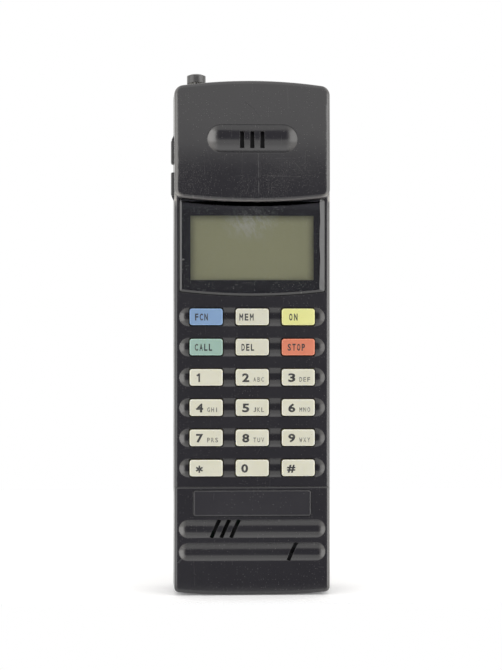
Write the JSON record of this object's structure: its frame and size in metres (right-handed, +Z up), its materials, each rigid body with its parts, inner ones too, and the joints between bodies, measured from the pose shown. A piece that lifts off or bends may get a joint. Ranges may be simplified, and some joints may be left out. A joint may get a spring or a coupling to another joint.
{
  "type": "handheld mobile telephone",
  "caption": "Upright brick-shaped cellular handset with a raised earpiece head, display window, backlit keypad, sliding whip aerial and slide-off battery pack.",
  "frame": {"origin": "on the base, in the middle of the width and of the depth, with the phone standing upright", "axes": "+X to the right seen from the front, +Y towards the back (the keys face -Y), +Z up along the phone"},
  "size_m": [0.057, 0.0273, 0.1851],
  "materials": {
    "case_black": "satin black moulding with a fine grain",
    "plate_grey": "smooth blank plate, faintly lighter than the case",
    "window_clear": "clear polished pane",
    "mask_black": "black printed border",
    "lcd_olive": "olive grey liquid crystal cell",
    "inner_white": "plain moulding",
    "contact_rubber": "silicone rubber",
    "board_green": "green lacquered board",
    "inner_black": "plain black moulding",
    "shield_tin": "tinned sheet",
    "silver_plate": "silvered metal",
    "foam_black": "black foam",
    "whip_steel": "bright drawn steel",
    "cap_black": "black moulding, slightly glossy",
    "bush_nickel": "nickel-plated brass",
    "contact_gold": "gold-plated contacts",
    "screw_steel": "blackened steel",
    "cell_nickel": "nickel-plated can",
    "strap_nickel": "nickel strip",
    "latch_black": "black moulding with grip grooves",
    "side_rubber": "black rubber",
    "key_blue": "translucent blue",
    "key_white": "translucent off-white",
    "key_yellow": "translucent pale yellow",
    "key_green": "translucent grey green",
    "key_red": "translucent orange red",
    "key_ivory": "translucent ivory"
  },
  "bodies": {
    "phone": {"front_cover": "case_black", "rear_cover": "case_black", "nameplate": "plate_grey", "display_window": "window_clear", "window_mask": "mask_black", "lcd_glass": "lcd_olive", "lcd_holder": "inner_white", "light_guide": "inner_white", "lcd_strips": "contact_rubber", "keymat": "contact_rubber", "main_board": "board_green", "side_switches": "inner_black", "logic_shield": "shield_tin", "rf_shield": "shield_tin", "duplexer": "silver_plate", "power_amplifier": "silver_plate", "earpiece": "inner_black", "earpiece_gasket": "foam_black", "microphone": "silver_plate", "microphone_boot": "side_rubber", "ringer": "inner_black", "aerial_bush": "bush_nickel", "aerial_guide": "inner_black", "aerial_contact": "contact_gold", "charge_jack": "inner_black", "system_connector": "inner_black", "connector_contacts": "contact_gold", "battery_contacts": "inner_black", "cover_screws": "screw_steel"},
    "battery": {"battery_case": "case_black", "battery_lid": "inner_black", "battery_terminals": "contact_gold", "battery_cells": "cell_nickel", "cell_straps": "strap_nickel", "cell_board": "board_green", "latch_spring": "whip_steel"},
    "latch": {"battery_latch": "latch_black"},
    "aerial": {"aerial_whip": "whip_steel", "aerial_cap": "cap_black"},
    "key_function": {"key_function": "key_blue"},
    "key_memory": {"key_memory": "key_white"},
    "key_power": {"key_power": "key_yellow"},
    "key_call": {"key_call": "key_green"},
    "key_clear": {"key_clear": "key_white"},
    "key_end": {"key_end": "key_red"},
    "key_1": {"key_1": "key_ivory"},
    "key_2": {"key_2": "key_ivory"},
    "key_3": {"key_3": "key_ivory"},
    "key_4": {"key_4": "key_ivory"},
    "key_5": {"key_5": "key_ivory"},
    "key_6": {"key_6": "key_ivory"},
    "key_7": {"key_7": "key_ivory"},
    "key_8": {"key_8": "key_ivory"},
    "key_9": {"key_9": "key_ivory"},
    "key_star": {"key_star": "key_ivory"},
    "key_0": {"key_0": "key_ivory"},
    "key_hash": {"key_hash": "key_ivory"},
    "volume_up": {"volume_up_key": "side_rubber"},
    "volume_down": {"volume_down_key": "side_rubber"}
  },
  "joints": [
    {"name": "key_function_press", "type": "slide", "parent": "phone", "child": "key_function", "axis": [0, 1, 0], "range_m": [0, 0.0008], "stiffness_N_per_m": 1200},
    {"name": "key_memory_press", "type": "slide", "parent": "phone", "child": "key_memory", "axis": [0, 1, 0], "range_m": [0, 0.0008], "stiffness_N_per_m": 1200},
    {"name": "key_power_press", "type": "slide", "parent": "phone", "child": "key_power", "axis": [0, 1, 0], "range_m": [0, 0.0008], "stiffness_N_per_m": 1200},
    {"name": "key_call_press", "type": "slide", "parent": "phone", "child": "key_call", "axis": [0, 1, 0], "range_m": [0, 0.0008], "stiffness_N_per_m": 1200},
    {"name": "key_clear_press", "type": "slide", "parent": "phone", "child": "key_clear", "axis": [0, 1, 0], "range_m": [0, 0.0008], "stiffness_N_per_m": 1200},
    {"name": "key_end_press", "type": "slide", "parent": "phone", "child": "key_end", "axis": [0, 1, 0], "range_m": [0, 0.0008], "stiffness_N_per_m": 1200},
    {"name": "key_1_press", "type": "slide", "parent": "phone", "child": "key_1", "axis": [0, 1, 0], "range_m": [0, 0.0008], "stiffness_N_per_m": 1200},
    {"name": "key_2_press", "type": "slide", "parent": "phone", "child": "key_2", "axis": [0, 1, 0], "range_m": [0, 0.0008], "stiffness_N_per_m": 1200},
    {"name": "key_3_press", "type": "slide", "parent": "phone", "child": "key_3", "axis": [0, 1, 0], "range_m": [0, 0.0008], "stiffness_N_per_m": 1200},
    {"name": "key_4_press", "type": "slide", "parent": "phone", "child": "key_4", "axis": [0, 1, 0], "range_m": [0, 0.0008], "stiffness_N_per_m": 1200},
    {"name": "key_5_press", "type": "slide", "parent": "phone", "child": "key_5", "axis": [0, 1, 0], "range_m": [0, 0.0008], "stiffness_N_per_m": 1200},
    {"name": "key_6_press", "type": "slide", "parent": "phone", "child": "key_6", "axis": [0, 1, 0], "range_m": [0, 0.0008], "stiffness_N_per_m": 1200},
    {"name": "key_7_press", "type": "slide", "parent": "phone", "child": "key_7", "axis": [0, 1, 0], "range_m": [0, 0.0008], "stiffness_N_per_m": 1200},
    {"name": "key_8_press", "type": "slide", "parent": "phone", "child": "key_8", "axis": [0, 1, 0], "range_m": [0, 0.0008], "stiffness_N_per_m": 1200},
    {"name": "key_9_press", "type": "slide", "parent": "phone", "child": "key_9", "axis": [0, 1, 0], "range_m": [0, 0.0008], "stiffness_N_per_m": 1200},
    {"name": "key_star_press", "type": "slide", "parent": "phone", "child": "key_star", "axis": [0, 1, 0], "range_m": [0, 0.0008], "stiffness_N_per_m": 1200},
    {"name": "key_0_press", "type": "slide", "parent": "phone", "child": "key_0", "axis": [0, 1, 0], "range_m": [0, 0.0008], "stiffness_N_per_m": 1200},
    {"name": "key_hash_press", "type": "slide", "parent": "phone", "child": "key_hash", "axis": [0, 1, 0], "range_m": [0, 0.0008], "stiffness_N_per_m": 1200},
    {"name": "volume_up_press", "type": "slide", "parent": "phone", "child": "volume_up", "axis": [1, 0, 0], "range_m": [0, 0.0005], "stiffness_N_per_m": 1500},
    {"name": "volume_down_press", "type": "slide", "parent": "phone", "child": "volume_down", "axis": [1, 0, 0], "range_m": [0, 0.0005], "stiffness_N_per_m": 1500},
    {"name": "aerial_slide", "type": "slide", "parent": "phone", "child": "aerial", "axis": [0, 0, 1], "range_m": [0, 0.1005]},
    {"name": "battery_slide", "type": "slide", "parent": "phone", "child": "battery", "axis": [0, 0, -1], "range_m": [0, 0.115]},
    {"name": "latch_press", "type": "slide", "parent": "battery", "child": "latch", "axis": [0, -1, 0], "range_m": [0, 0.0013], "stiffness_N_per_m": 900, "deforming": ["latch_spring"]}
  ]
}
